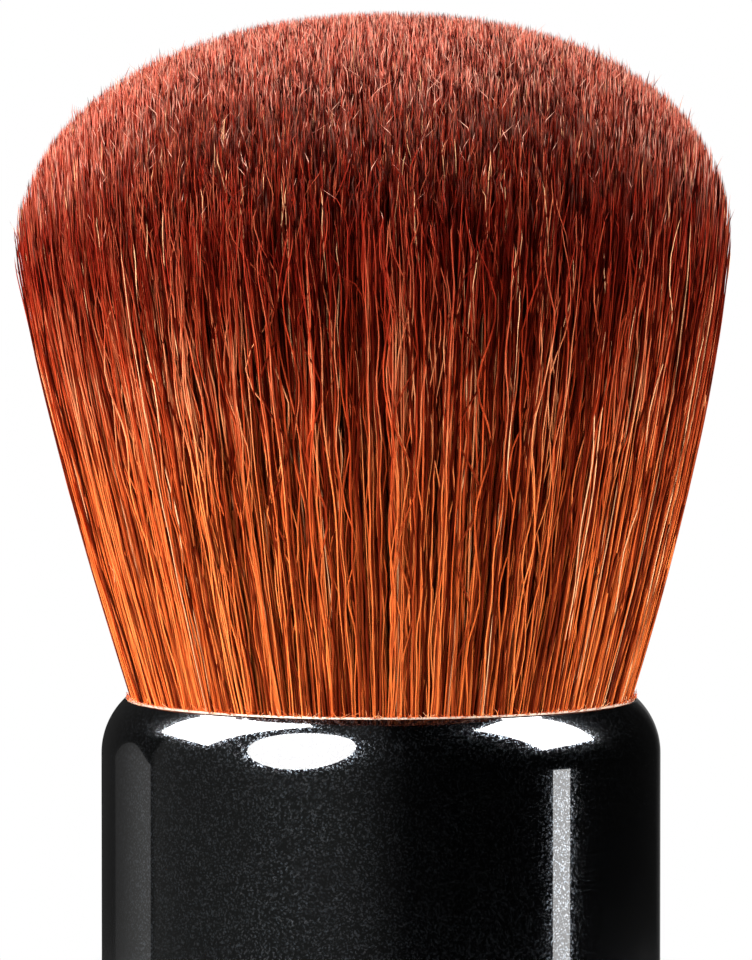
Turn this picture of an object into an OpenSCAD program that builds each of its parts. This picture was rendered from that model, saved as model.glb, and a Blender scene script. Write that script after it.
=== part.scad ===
// Kabuki makeup brush. A domed bundle of synthetic bristle is bound with thread and glued
// in a metal ferrule cup. The cup sits in a plastic core with a steel weight, and a black
// lacquered metal shell covers the core. Millimetres, +Z up, origin at the middle of the base.

/* [Handle shell] */
// Outside diameter of the handle
handle_d = 30; // [24:0.5:38]
// Height of the mouth above the table
handle_h = 30; // [28:0.5:60]
// Radius of the rounded shoulder under the mouth
shoulder_r = 4; // [2:0.5:8]
// Width of the flat land round the mouth
land_w = 0.15; // [0.1:0.05:0.3]
// Wall of the metal shell
shell_wall = 0.6; // [0.4:0.1:1]
// Height of the shell's lower edge above the table
shell_lift = 0.4; // [0.2:0.1:0.8]

/* [Handle core] */
// Wall of the core round the ferrule cup
core_wall = 0.7; // [0.5:0.1:2]
// Wall of the core round the base plate's spigot
skirt_wall = 1.4; // [1.1:0.1:2]
// Thickness of the web that carries the cup
web_t = 2; // [1.2:0.2:3]
// Diameter of the vent through the web
vent_d = 4; // [2:0.5:8]
// Wall of the tube round the weight
pocket_wall = 1.2; // [0.8:0.1:1.6]
// Thickness of the ribs
rib_t = 1.2; // [0.8:0.1:2]
// Number of ribs round the weight
rib_count = 6; // [3:1:8]

/* [Weight] */
// Diameter of the steel weight
slug_d = 16; // [12:0.5:17]
// Height of the steel weight
slug_h = 7; // [4:0.5:8]
// Chamfer on the weight's edges
slug_chamfer = 0.6; // [0.2:0.1:1]
// Thickness of the foam pad under the weight
pad_t = 1; // [0.5:0.1:1.5]

/* [Base plate] */
// Thickness of the base plate
plate_t = 1.8; // [1.2:0.1:2.2]
// Gap between the base plate and the shell
plate_gap = 0.15; // [0.1:0.05:0.3]
// Rounding of the base plate's lower edge
plate_round = 0.5; // [0.2:0.1:0.8]
// Depth of the recess under the base plate
recess_depth = 0.3; // [0.1:0.1:0.6]
// Width of the foot ring round that recess
foot_w = 3; // [2:0.5:5]
// Height of the spigot that snaps into the core
spigot_h = 3; // [2:0.2:3.4]
// Wall of the spigot and of the post that holds the weight
spigot_wall = 1.2; // [0.8:0.1:1.6]
// Outside diameter of the post that holds the weight
post_d = 12; // [8:0.5:12]
// How far the snap bead stands out of the spigot
bead_out = 0.15; // [0.1:0.05:0.3]

/* [Ferrule cup] */
// Depth of the cup from the mouth to its seat
cup_depth = 15; // [12:0.5:16]
// Wall of the cup
cup_wall = 0.3; // [0.2:0.05:0.5]
// How far the cup's rim stands above the mouth
cup_proud = 0.15; // [0.1:0.05:0.3]
// Width of the cup's turned-in floor
cup_floor_w = 3.5; // [2:0.5:6]
// Radius of the rolled groove that locks the adhesive
groove_r = 0.6; // [0.4:0.1:0.8]
// Depth of the rolled groove
groove_depth = 0.3; // [0.2:0.05:0.4]

/* [Adhesive and thread] */
// Thickness of the adhesive under the bundle
glue_floor = 1.6; // [1:0.1:2.5]
// Height of the adhesive round the bundle's foot
glue_rise = 3; // [2.2:0.1:4]
// Thickness of the adhesive wall round the bundle's foot
glue_wall = 0.7; // [0.6:0.1:1]
// Diameter of the binding thread
thread_d = 0.4; // [0.3:0.05:0.5]
// Number of turns of the binding thread
thread_turns = 5; // [3:1:8]

/* [Bristle] */
// Greatest diameter of the bristle head
head_d = 38.8; // [36:0.2:48]
// Height of the greatest diameter above the mouth
flare_h = 25.6; // [18:0.2:40]
// How early the flare opens, 1 for a straight cone
flare_curve = 1.4; // [1:0.1:2]
// Height of the dome above the greatest diameter
dome_h = 11.2; // [6:0.2:18]
// Number of rings of strands round the middle one
strand_rings = 11; // [10:1:12]
// Share of their spacing that the strands fill
strand_fill = 0.92; // [0.7:0.02:0.94]
// Length of the tapered tips
tip_l = 2.5; // [1.5:0.5:6]

/* [Fits] */
// Clearance between pieces that slide together
fit = 0.05; // [0.03:0.01:0.08]
// Clearance round the soft bundle
soft_fit = 0.1; // [0.05:0.05:0.2]

/* [Hidden] */
$fn = 96;
// A cut starts or ends this far outside what it cuts
over = 1;

// Radii, from the outside in
shell_r = handle_d / 2;
shell_bore_r = shell_r - shell_wall;
core_r = shell_bore_r - fit;
cup_socket_r = core_r - core_wall;
cup_r = cup_socket_r - fit;
cup_bore_r = cup_r - cup_wall;
glue_r = cup_bore_r - fit;
bundle_r = cup_bore_r - soft_fit;
root_r = glue_r - glue_wall - fit;
thread_r = root_r + thread_d / 2 + fit;
head_r = head_d / 2;
skirt_bore_r = core_r - skirt_wall;
spigot_r = skirt_bore_r - fit;
slug_r = slug_d / 2;
pocket_r = slug_r + fit;

// Heights, from the mouth down
land_r = cup_socket_r + land_w;
shoulder_mid_r = shell_r - shoulder_r;
shoulder_z = handle_h - sqrt(pow(shoulder_r, 2) - pow(max(0, land_r - shoulder_mid_r), 2));
core_top_z = shoulder_z - fit;
cup_seat_z = handle_h - cup_depth;
web_z = cup_seat_z - web_t;
slug_z = web_z - slug_h;
pad_z = slug_z - pad_t;
skirt_top_z = plate_t + spigot_h + 2 * fit;
bead_z = plate_t + spigot_h / 2;
glue_z = cup_seat_z + cup_wall;
root_z = glue_z + glue_floor;
thread_z = root_z + glue_rise + fit;
thread_h = thread_turns * thread_d;
neck_z = thread_z + thread_h + fit;
groove_z = glue_z + (glue_floor + glue_rise) / 2;

// Strands: one in the middle, then 6, 12, 18 and so on in rings, each ring turned on the last
strand_sides = 3;
strand_sunk = 0.1;
strand_belly_h = 0.45 * flare_h;
ring_turn = 23;
strand_ring = [for (ring = [0 : strand_rings], place = [0 : max(1, 6 * ring) - 1]) ring];
strand_angle = [for (ring = [0 : strand_rings], place = [0 : max(1, 6 * ring) - 1])
    360 * place / max(1, 6 * ring) + ring * ring_turn];

// A half section, from the axis to r and up to arc_z + arc_r, with its top corner rounded
module rounded_section(r, arc_r, arc_z) {
    square([r, arc_z]);
    square([r - arc_r, arc_z + arc_r]);
    translate([r - arc_r, arc_z])
        circle(arc_r);
}

// A tube standing on z
module tube(z, height, outer_r, inner_r) {
    translate([0, 0, z])
        difference() {
            cylinder(h = height, r = outer_r);
            translate([0, 0, -over])
                cylinder(h = height + 2 * over, r = inner_r);
        }
}

// A ring of round section
module ring(z, middle_r, section_r) {
    translate([0, 0, z])
        rotate_extrude()
            translate([middle_r, 0])
                circle(section_r);
}

// Black lacquered metal shell, drawn in at the shoulder to a mouth
module handle_shell() {
    color("#0b0b0d")
        rotate_extrude()
            difference() {
                intersection() {
                    rounded_section(shell_r, shoulder_r, shoulder_z);
                    translate([cup_socket_r, shell_lift])
                        square([shell_r, handle_h - shell_lift]);
                }
                rounded_section(shell_bore_r, shoulder_r - shell_wall, shoulder_z);
            }
}

// Ribs from the weight's tube out to the core's wall
module core_ribs() {
    rib_z = skirt_top_z;
    rib_in = pocket_r + pocket_wall / 2;
    rib_out = (skirt_bore_r + core_r) / 2;
    for (index = [0 : rib_count - 1])
        rotate([0, 0, index * 360 / rib_count])
            translate([rib_in, -rib_t / 2, rib_z])
                cube([rib_out - rib_in, rib_t, web_z + web_t / 2 - rib_z]);
}

// Moulded core: a socket for the cup above the web, a pocket for the weight below it
module handle_core() {
    color("#26262a") {
        difference() {
            translate([0, 0, plate_t])
                cylinder(h = core_top_z - plate_t, r = core_r);
            translate([0, 0, cup_seat_z])
                cylinder(h = cup_depth, r = cup_socket_r);
            translate([0, 0, plate_t - over])
                cylinder(h = web_z - plate_t + over, r = skirt_bore_r);
            cylinder(h = handle_h, d = vent_d);
            ring(bead_z, spigot_r, bead_out + fit);
        }
        tube(pad_z, web_z + web_t / 2 - pad_z, pocket_r + pocket_wall, pocket_r);
        core_ribs();
    }
}

// Plastic plate that closes the handle, with a snap spigot and a post for the weight
module base_plate() {
    plate_r = shell_bore_r - plate_gap;
    color("#18181a") {
        difference() {
            translate([0, 0, plate_round])
                rotate_extrude() {
                    square([plate_r, plate_t - plate_round]);
                    translate([0, -plate_round])
                        square([plate_r - plate_round, plate_round]);
                    translate([plate_r - plate_round, 0])
                        circle(plate_round);
                }
            translate([0, 0, -over])
                cylinder(h = recess_depth + over, r = plate_r - foot_w);
        }
        tube(plate_t / 2, plate_t / 2 + spigot_h, spigot_r, spigot_r - spigot_wall);
        ring(bead_z, spigot_r, bead_out);
        tube(plate_t / 2, pad_z - plate_t / 2, post_d / 2, post_d / 2 - spigot_wall);
    }
}

// Steel weight, chamfered at both ends
module weight_slug() {
    body_h = slug_h - 2 * slug_chamfer;
    color("#8a8c90")
        translate([0, 0, slug_z]) {
            cylinder(h = slug_chamfer, r1 = slug_r - slug_chamfer, r2 = slug_r);
            translate([0, 0, slug_chamfer])
                cylinder(h = body_h, r = slug_r);
            translate([0, 0, slug_chamfer + body_h])
                cylinder(h = slug_chamfer, r1 = slug_r, r2 = slug_r - slug_chamfer);
        }
}

// Foam pad that keeps the weight from rattling
module weight_pad() {
    color("#4c4c50")
        translate([0, 0, pad_z])
            cylinder(h = pad_t, r = slug_r);
}

// Section of the rolled groove, grown by a margin
module groove_section(margin) {
    translate([cup_r + groove_r - groove_depth, groove_z])
        circle(groove_r + margin);
}

// Drawn metal cup with a turned-in floor and a rolled groove
module ferrule_cup() {
    color("#d9c2b0")
        rotate_extrude()
            difference() {
                union() {
                    translate([cup_bore_r, cup_seat_z])
                        square([cup_wall, cup_depth + cup_proud]);
                    translate([cup_r - cup_floor_w, cup_seat_z])
                        square([cup_floor_w, cup_wall]);
                    intersection() {
                        groove_section(cup_wall);
                        translate([0, cup_seat_z])
                            square([cup_r, cup_depth]);
                    }
                }
                groove_section(0);
            }
}

// Cured adhesive that locks the bundle's foot in the cup
module adhesive_plug() {
    color("#c9a56a")
        rotate_extrude()
            difference() {
                translate([0, glue_z])
                    square([glue_r, glue_floor + glue_rise]);
                translate([0, root_z])
                    square([root_r + fit, glue_rise + over]);
                groove_section(cup_wall + fit);
            }
}

// Nylon thread wound round the bundle's foot, as one band
module binding_thread() {
    color("#e8e2d4")
        tube(thread_z, thread_h, thread_r + thread_d / 2, thread_r - thread_d / 2);
}

// Radius of the head's outline at a height above the mouth
function outline_r(h) =
    h <= 0 ? bundle_r
    : h >= flare_h ? head_r
    : bundle_r + (head_r - bundle_r) * (1 - pow(1 - h / flare_h, flare_curve));

// Distance between rings of strands at a height above the mouth
function strand_pitch(h) = outline_r(h) / (strand_rings + 0.5);

// Height of a ring's tips above the mouth, on the dome
function tip_h(ring) = flare_h + dome_h * sqrt(1 - pow(ring / (strand_rings + 0.5), 2));

// Corners of a strand's section at a height
function strand_section(ring, angle, h) = [for (side = [0 : strand_sides - 1])
    let (
        centre_r = ring * strand_pitch(h),
        corner_r = strand_fill * strand_pitch(h) / 2,
        turn = angle + side * 360 / strand_sides
    )
    [centre_r * cos(angle) + corner_r * cos(turn),
     centre_r * sin(angle) + corner_r * sin(turn),
     handle_h + h]];

// A strand's points: three sections and the tip
function strand_points(ring, angle) =
    let (
        top_h = tip_h(ring),
        heights = [-strand_sunk, strand_belly_h, top_h - tip_l],
        tip_r = ring * strand_pitch(top_h)
    )
    concat(
        [for (h = heights) each strand_section(ring, angle, h)],
        [[tip_r * cos(angle), tip_r * sin(angle), handle_h + top_h]]
    );

// A strand's faces, for the strand whose first point has this number
function strand_faces(first) = concat(
    [[for (side = [0 : strand_sides - 1]) first + side]],
    [for (level = [0, 1], side = [0 : strand_sides - 1])
        let (
            next = (side + 1) % strand_sides,
            low = first + level * strand_sides,
            high = low + strand_sides
        )
        each [[low + side, high + side, low + next], [low + next, high + side, high + next]]],
    [for (side = [0 : strand_sides - 1])
        let (high = first + 2 * strand_sides)
        [high + side, first + 3 * strand_sides, high + (side + 1) % strand_sides]]
);

// All the strands as one list of points and faces
module strands() {
    strand_size = 3 * strand_sides + 1;
    polyhedron(
        points = [for (index = [0 : len(strand_ring) - 1])
            each strand_points(strand_ring[index], strand_angle[index])],
        faces = [for (index = [0 : len(strand_ring) - 1])
            each strand_faces(index * strand_size)]
    );
}

// Bristle: the strands, on the part of the bundle that is packed solid inside the cup
module bristle_tuft() {
    color("#a8431c") {
        translate([0, 0, root_z])
            cylinder(h = neck_z - root_z, r = root_r);
        translate([0, 0, neck_z])
            cylinder(h = handle_h - neck_z, r = bundle_r);
        strands();
    }
}

handle_shell();
handle_core();
base_plate();
weight_slug();
weight_pad();
ferrule_cup();
adhesive_plug();
binding_thread();
bristle_tuft();
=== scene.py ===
import math

import bmesh
import bpy
import numpy as np
from bpy.props import FloatProperty, FloatVectorProperty, IntProperty, PointerProperty
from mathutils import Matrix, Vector


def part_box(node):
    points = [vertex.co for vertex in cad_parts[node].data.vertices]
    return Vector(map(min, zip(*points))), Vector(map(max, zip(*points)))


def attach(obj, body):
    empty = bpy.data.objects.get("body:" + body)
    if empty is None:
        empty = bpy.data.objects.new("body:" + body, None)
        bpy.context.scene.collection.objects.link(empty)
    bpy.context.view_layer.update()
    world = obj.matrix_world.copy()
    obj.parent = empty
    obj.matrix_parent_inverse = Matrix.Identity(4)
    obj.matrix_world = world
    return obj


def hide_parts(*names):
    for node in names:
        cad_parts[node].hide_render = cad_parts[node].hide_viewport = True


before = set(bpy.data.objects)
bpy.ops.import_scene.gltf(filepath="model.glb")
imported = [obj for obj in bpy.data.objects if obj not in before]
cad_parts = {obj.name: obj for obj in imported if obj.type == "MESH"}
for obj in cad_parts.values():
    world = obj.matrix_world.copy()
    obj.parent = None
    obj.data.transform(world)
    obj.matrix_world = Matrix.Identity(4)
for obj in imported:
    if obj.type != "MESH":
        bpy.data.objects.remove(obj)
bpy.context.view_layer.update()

bl_info = {
    "name": "Kabuki Brush",
    "version": (1, 0, 0),
    "blender": (4, 5, 0),
    "location": "View3D > Sidebar > Brush",
    "description": "Dresses the packed kabuki brush: lacquered handle, bristle head and studio",
    "category": "Object",
}

MM = 0.001
WHITE = (1.0, 1.0, 1.0)
SHELL_LOW, SHELL_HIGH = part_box("handle_shell")
TUFT_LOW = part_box("bristle_tuft")[0]
CUP_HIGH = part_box("ferrule_cup")[1]
THREAD_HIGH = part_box("binding_thread")[1]
MOUTH_Z = SHELL_HIGH.z
HANDLE_R = SHELL_HIGH.x
CUP_R = CUP_HIGH.x

# -------------------- values a user may change

class HandleSettings(bpy.types.PropertyGroup):
    """Sizes and colours of the lacquered shell and the ferrule's rim"""
    shoulder_r: FloatProperty(
        name="Shoulder radius", description="Radius of the rounded shoulder under the mouth",
        default=4 * MM, min=2 * MM, max=8 * MM, precision=5, unit="LENGTH")
    wall: FloatProperty(
        name="Wall", description="Thickness of the metal shell",
        default=0.6 * MM, min=0.3 * MM, max=1.5 * MM, precision=5, unit="LENGTH")
    mouth_r: FloatProperty(
        name="Mouth radius", description="Radius of the hole that the ferrule sits in",
        default=CUP_R + 0.05 * MM, min=8 * MM, max=20 * MM, precision=5, unit="LENGTH")
    land: FloatProperty(
        name="Land", description="Width of the flat land round the mouth",
        default=0.15 * MM, min=0, max=0.5 * MM, precision=5, unit="LENGTH")
    lip: FloatProperty(
        name="Lip", description="How far the lacquer's edge stands up round the mouth",
        default=0.07 * MM, min=0, max=0.15 * MM, precision=5, unit="LENGTH")
    lacquer: FloatVectorProperty(
        name="Lacquer", description="Colour of the lacquer between the flakes",
        subtype="COLOR", size=3, min=0, max=1, default=(0.002, 0.002, 0.0025))
    flake: FloatVectorProperty(
        name="Flake", description="Colour of the fine flake in the lacquer",
        subtype="COLOR", size=3, min=0, max=1, default=(0.112, 0.114, 0.120))
    flake_size: FloatProperty(
        name="Flake size", description="Width of one flake",
        default=0.07 * MM, min=0.02 * MM, max=0.5 * MM, precision=5, unit="LENGTH")
    flake_tilt: FloatProperty(
        name="Flake tilt", description="How far the flakes lean out of the surface",
        default=0.03, min=0, max=1, subtype="FACTOR")
    # the rim's colour is pale metal with a painted peach reflection of the bristles and a painted
    # highlight on its edge
    rim: FloatVectorProperty(
        name="Rim", description="Colour of the ferrule's bare rim",
        subtype="COLOR", size=3, min=0, max=1, default=(0.93, 0.72, 0.58))


class BristleSettings(bpy.types.PropertyGroup):
    """Sizes and colours of the bristle"""
    count: IntProperty(
        name="Strands", description="Number of strands in the head",
        default=41000, min=1000, max=60000)
    strand_r: FloatProperty(
        name="Strand radius", description="Radius of one strand",
        default=0.0555 * MM, min=0.02 * MM, max=0.2 * MM, precision=6, unit="LENGTH")
    foot_r: FloatProperty(
        name="Foot radius", description="Radius of the bundle at the mouth",
        default=13.08 * MM, min=5 * MM, max=20 * MM, precision=5, unit="LENGTH")
    head_r: FloatProperty(
        name="Head radius", description="Greatest radius of the head",
        default=19.2 * MM, min=8 * MM, max=30 * MM, precision=5, unit="LENGTH")
    flare_h: FloatProperty(
        name="Flare height", description="Height of the greatest radius above the mouth",
        default=25.08 * MM, min=10 * MM, max=50 * MM, precision=5, unit="LENGTH")
    dome_h: FloatProperty(
        name="Dome height", description="Height of the dome above the greatest radius",
        default=11.9 * MM, min=2 * MM, max=30 * MM, precision=5, unit="LENGTH")
    flare_curve: FloatProperty(
        name="Flare curve", description="How early the flare opens, 1 for a straight cone",
        default=1.42, min=1, max=3)
    clump: FloatProperty(
        name="Clumping", description="How far strands draw together in small tufts",
        default=0.5, min=0, max=1, subtype="FACTOR")
    seed: IntProperty(name="Seed", description="Seed of the strands' variation", default=7, min=0)
    root: FloatVectorProperty(
        name="Root", description="Colour of the strands at the mouth",
        subtype="COLOR", size=3, min=0, max=1, default=(0.80, 0.165, 0.033))
    belly: FloatVectorProperty(
        name="Belly", description="Colour of the strands half way up",
        subtype="COLOR", size=3, min=0, max=1, default=(0.56, 0.068, 0.017))
    neck: FloatVectorProperty(
        name="Under the tips", description="Colour of the strands just under their tips",
        subtype="COLOR", size=3, min=0, max=1, default=(0.35, 0.024, 0.010))
    # the few pale strands are partly lighter strands and partly painted highlights; higher up this
    # colour is also the painted highlight of light strands
    pale: FloatVectorProperty(
        name="Pale strands", description="Colour of the few pale strands",
        subtype="COLOR", size=3, min=0, max=1, default=(0.98, 0.50, 0.25))
    # painted highlight: the colour that the light strands turn towards lower down, standing for the
    # light they catch
    painted_highlight: FloatVectorProperty(
        name="Light strands", description="Colour that the lighter strands turn towards",
        subtype="COLOR", size=3, min=0, max=1, default=(0.93, 0.26, 0.07))
    # painted glint: bent-over tips take this pale colour as if they catch the light
    bent_tip_glint: FloatVectorProperty(
        name="Bent tips", description="Colour of the tips that are bent over",
        subtype="COLOR", size=3, min=0, max=1, default=(0.98, 0.48, 0.35))
    tip: FloatVectorProperty(
        name="Tip", description="Colour of the strands' tips",
        subtype="COLOR", size=3, min=0, max=1, default=(0.98, 0.22, 0.14))


class StageSettings(bpy.types.PropertyGroup):
    """Camera, lamps and floor"""
    camera: FloatVectorProperty(
        name="Camera", description="Where the camera stands",
        subtype="TRANSLATION", size=3, precision=5, default=(-0.00027, -0.5625, 0.07698))
    aim: FloatVectorProperty(
        name="Aim", description="What the camera looks at",
        subtype="TRANSLATION", size=3, precision=5, default=(-0.00027, 0.0, 0.04178))
    lens: FloatProperty(
        name="Lens", description="Focal length in millimetres", default=394.5, min=20, max=800)
    key: FloatProperty(
        name="Key lamp", description="Brightness of the key lamp's face", default=5.4, min=0)
    left: FloatProperty(
        name="Left lamp", description="Brightness of the left lamp's face", default=7.4, min=0)
    fill: FloatProperty(
        name="Front fill", description="Brightness of the low lamp in front", default=2.3, min=0)
    top: FloatProperty(
        name="Top lamp", description="Brightness of the small lamp above", default=2.8, min=0)
    back: FloatProperty(
        name="Back lamp", description="Brightness of the back lamp's face", default=1.2, min=0)
    right: FloatProperty(
        name="Right lamp", description="Brightness of the right lamp's face", default=7.0, min=0)
    glint: FloatProperty(
        name="Glint", description="Extra brightness that only gloss picks up", default=26.0, min=0)
    ambient: FloatProperty(
        name="Room", description="Brightness of the room all round", default=0.13, min=0)
    floor_r: FloatProperty(
        name="Floor radius", description="Radius of the floor round the brush",
        default=0.13, min=0.05, max=1, unit="LENGTH")
    floor: FloatVectorProperty(
        name="Floor", description="Colour of the floor", subtype="COLOR", size=3,
        min=0, max=1, default=(0.80, 0.80, 0.80))


# -------------------- node trees

def add(tree, kind, settings=None, **inputs):
    """Adds a node. settings are its own fields; inputs are socket values or the sockets to link."""
    node = tree.nodes.new(kind)
    for field, value in (settings or {}).items():
        setattr(node, field, value)
    for key, value in inputs.items():
        put(tree, node, key.replace("_", " "), value)
    return node


def put(tree, node, key, value):
    """Sets or links one input of a node, found by its name or its place."""
    socket = node.inputs[key]
    if isinstance(value, bpy.types.NodeSocket):
        tree.links.new(value, socket)
    elif socket.type == "RGBA" and len(value) == 3:
        socket.default_value = (*value, 1)
    else:
        socket.default_value = value


def maths(tree, operation, *values, clamp=False):
    """One Math node on values or sockets."""
    node = add(tree, "ShaderNodeMath", {"operation": operation, "use_clamp": clamp})
    for place, value in enumerate(values):
        put(tree, node, place, value)
    return node.outputs[0]


def vectors(tree, operation, *values):
    """One Vector Math node on vectors or sockets."""
    node = add(tree, "ShaderNodeVectorMath", {"operation": operation})
    for place, value in enumerate(values):
        put(tree, node, place, value)
    return node.outputs["Value" if operation == "LENGTH" else "Vector"]


def ramp(tree, value, stops):
    """A colour ramp: stops are (place, colour)."""
    node = add(tree, "ShaderNodeValToRGB", Fac=value)
    elements = node.color_ramp.elements
    while len(elements) < len(stops):
        elements.new(1)
    for element, (place, colour) in zip(elements, stops):
        element.position = place
        element.color = (*colour, 1)
    return node.outputs["Color"]


def span(tree, value, low, high, to_low=0.0, to_high=1.0, smooth=True):
    """Maps a value from one range to another, held at both ends."""
    node = add(tree, "ShaderNodeMapRange",
               {"interpolation_type": "SMOOTHSTEP" if smooth else "LINEAR"})
    for place, number in enumerate((value, low, high, to_low, to_high)):
        put(tree, node, place, number)
    return node.outputs[0]


def blend(tree, share, first, second):
    """Mixes two colours. The Mix node's colour sockets are its inputs 6 and 7 and its output 2."""
    node = add(tree, "ShaderNodeMix", {"data_type": "RGBA"})
    put(tree, node, 0, share)
    put(tree, node, 6, first)
    put(tree, node, 7, second)
    return node.outputs[2]


def times(tree, colour, factor_r, factor_g, factor_b):
    """Multiplies the channels of a colour."""
    factors = add(tree, "ShaderNodeCombineXYZ", X=factor_r, Y=factor_g, Z=factor_b)
    return vectors(tree, "MULTIPLY", colour, factors.outputs[0])


def either(tree, share, first, second):
    """Mixes two shader nodes. Returns the mixing node."""
    node = add(tree, "ShaderNodeMixShader", Fac=share)
    put(tree, node, 1, first.outputs[0])
    put(tree, node, 2, second.outputs[0])
    return node


def new_group(name, inputs, outputs):
    """A shader node group with typed sockets. Returns the group, its inputs and its output node."""
    group = bpy.data.node_groups.new(name, "ShaderNodeTree")
    for label, kind, default in inputs:
        socket = group.interface.new_socket(label, in_out="INPUT", socket_type=kind)
        socket.default_value = default
    for label, kind in outputs:
        group.interface.new_socket(label, in_out="OUTPUT", socket_type=kind)
    start = group.nodes.new("NodeGroupInput")
    end = group.nodes.new("NodeGroupOutput")
    return group, {s.name: s for s in start.outputs if s.name}, end


def grain_group():
    """Fine mottling and grain of moulded, rolled and turned surfaces."""
    name = "Surface grain"
    if name in bpy.data.node_groups:
        return bpy.data.node_groups[name]
    group, given, end = new_group(
        name,
        [("Grain size", "NodeSocketFloat", 0.0003), ("Mottle size", "NodeSocketFloat", 0.004),
         ("Stretch", "NodeSocketVector", (1, 1, 1)),
         ("Colour", "NodeSocketColor", (0.5, 0.5, 0.5, 1)),
         ("Colour change", "NodeSocketFloat", 0.1),
         ("Roughness", "NodeSocketFloat", 0.5), ("Roughness change", "NodeSocketFloat", 0.1)],
        [("Colour", "NodeSocketColor"), ("Roughness", "NodeSocketFloat"),
         ("Height", "NodeSocketFloat")])
    place = add(group, "ShaderNodeTexCoord").outputs["Object"]
    place = vectors(group, "MULTIPLY", place, given["Stretch"])
    fine = add(group, "ShaderNodeTexNoise", Vector=place, Detail=3.0,
               Scale=maths(group, "DIVIDE", 1.0, given["Grain size"])).outputs["Fac"]
    broad = add(group, "ShaderNodeTexNoise", Vector=place, Detail=4.0,
                Scale=maths(group, "DIVIDE", 1.0, given["Mottle size"])).outputs["Fac"]
    both = maths(group, "ADD", maths(group, "MULTIPLY", fine, 0.5),
                 maths(group, "MULTIPLY", broad, 0.5))
    swing = maths(group, "MULTIPLY", maths(group, "SUBTRACT", both, 0.5), 2.0)
    gain = maths(group, "ADD", 1.0, maths(group, "MULTIPLY", swing, given["Colour change"]))
    group.links.new(times(group, given["Colour"], gain, gain, gain), end.inputs["Colour"])
    rough = maths(group, "ADD", given["Roughness"],
                  maths(group, "MULTIPLY", swing, given["Roughness change"]), clamp=True)
    group.links.new(rough, end.inputs["Roughness"])
    group.links.new(fine, end.inputs["Height"])
    return group


def new_material(name):
    """An empty material. Returns the material, its node tree and the tree's output."""
    material = bpy.data.materials.new(name)
    material.use_nodes = True
    tree = material.node_tree
    tree.nodes.clear()
    output = tree.nodes.new("ShaderNodeOutputMaterial")
    return material, tree, output


def shade(tree, output, bump=None, bump_height=0.0, **inputs):
    """Gives the material its Principled shader."""
    shader = add(tree, "ShaderNodeBsdfPrincipled", **inputs)
    if bump is not None:
        relief = add(tree, "ShaderNodeBump", Height=bump, Distance=bump_height)
        tree.links.new(relief.outputs["Normal"], shader.inputs["Normal"])
    tree.links.new(shader.outputs[0], output.inputs["Surface"])
    return shader


def grained(name, colour, colour_change, roughness, roughness_change, grain, mottle,
            relief, stretch=(1, 1, 1), **constants):
    """A material whose colour, roughness and relief come from the surface grain group."""
    material, tree, output = new_material(name)
    group = add(tree, "ShaderNodeGroup", {"node_tree": grain_group()}, Grain_size=grain,
                Mottle_size=mottle, Stretch=stretch, Colour=colour, Colour_change=colour_change,
                Roughness=roughness, Roughness_change=roughness_change)
    shade(tree, output, bump=group.outputs["Height"], bump_height=relief,
          Base_Color=group.outputs["Colour"], Roughness=group.outputs["Roughness"], **constants)
    return material


# -------------------- meshes

def link(name, data):
    """A new object in the scene."""
    piece = bpy.data.objects.new(name, data)
    bpy.context.scene.collection.objects.link(piece)
    return piece


def new_piece(name, mesh, material, slot, *nodes):
    """Links a piece to the scene, on the brush's one body."""
    piece = link(name, mesh)
    mesh.materials.append(material)
    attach(piece, "root")
    if nodes:
        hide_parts(*nodes)
    return piece


def mesh_from(name, points, corners, sizes, uv=None):
    """A smooth mesh from points, the faces' corners in one list, and how many each face has."""
    mesh = bpy.data.meshes.new(name)
    mesh.vertices.add(len(points))
    mesh.vertices.foreach_set("co", np.asarray(points, np.float32).ravel())
    mesh.loops.add(len(corners))
    mesh.loops.foreach_set("vertex_index", np.asarray(corners, np.int32))
    mesh.polygons.add(len(sizes))
    sizes = np.asarray(sizes, np.int32)
    mesh.polygons.foreach_set("loop_start", np.cumsum(sizes) - sizes)
    mesh.polygons.foreach_set("loop_total", sizes)
    if uv is not None:
        mesh.uv_layers.new(name="OFBake").data.foreach_set("uv", np.asarray(uv, np.float32).ravel())
    mesh.update(calc_edges=True)
    mesh.polygons.foreach_set("use_smooth", np.ones(len(sizes), bool))
    return mesh


def arc(centre_r, centre_z, radius, start, end, steps):
    """Points on an arc of a half section, angles in degrees from level."""
    return [(centre_r + radius * math.cos(math.radians(a)),
             centre_z + radius * math.sin(math.radians(a)))
            for a in np.linspace(start, end, steps)]


def lathe(name, section, steps):
    """Turns a closed half section, anticlockwise with the axis on its left, about the axis."""
    section = np.array(section)
    turn = np.linspace(0, 2 * math.pi, steps, endpoint=False)
    points = np.stack([np.outer(np.cos(turn), section[:, 0]), np.outer(np.sin(turn), section[:, 0]),
                       np.tile(section[:, 1], (steps, 1))], axis=-1).reshape(-1, 3)
    count = len(section)
    here = np.arange(steps)[:, None] * count + np.arange(count)[None, :]
    there = np.roll(here, -1, axis=0)
    faces = np.stack([here, there, np.roll(there, -1, axis=1), np.roll(here, -1, axis=1)],
                     axis=-1).reshape(-1, 4)
    return mesh_from(name, points, faces.ravel(), np.full(len(faces), 4))


def keep_edges(mesh, angle=30):
    """Marks the edges that stay sharp under smooth shading."""
    work = bmesh.new()
    work.from_mesh(mesh)
    bmesh.ops.remove_doubles(work, verts=work.verts, dist=0.0001 * MM)
    for edge in work.edges:
        edge.smooth = not edge.is_manifold or edge.calc_face_angle(0) < math.radians(angle)
    work.to_mesh(mesh)
    work.free()


# -------------------- handle

BREAK = 0.06 * MM  # radius of the shell's broken edges
FLAKE_SHARE = (0.60, 1.0)  # cells that draw less than the first hold no flake
FLAKE_CLOUD = 400.0  # clouds of more and less flake to the metre
FLAKE_COOL = (0.85, 1.0, 1.12)  # tint of the coolest flakes


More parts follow.
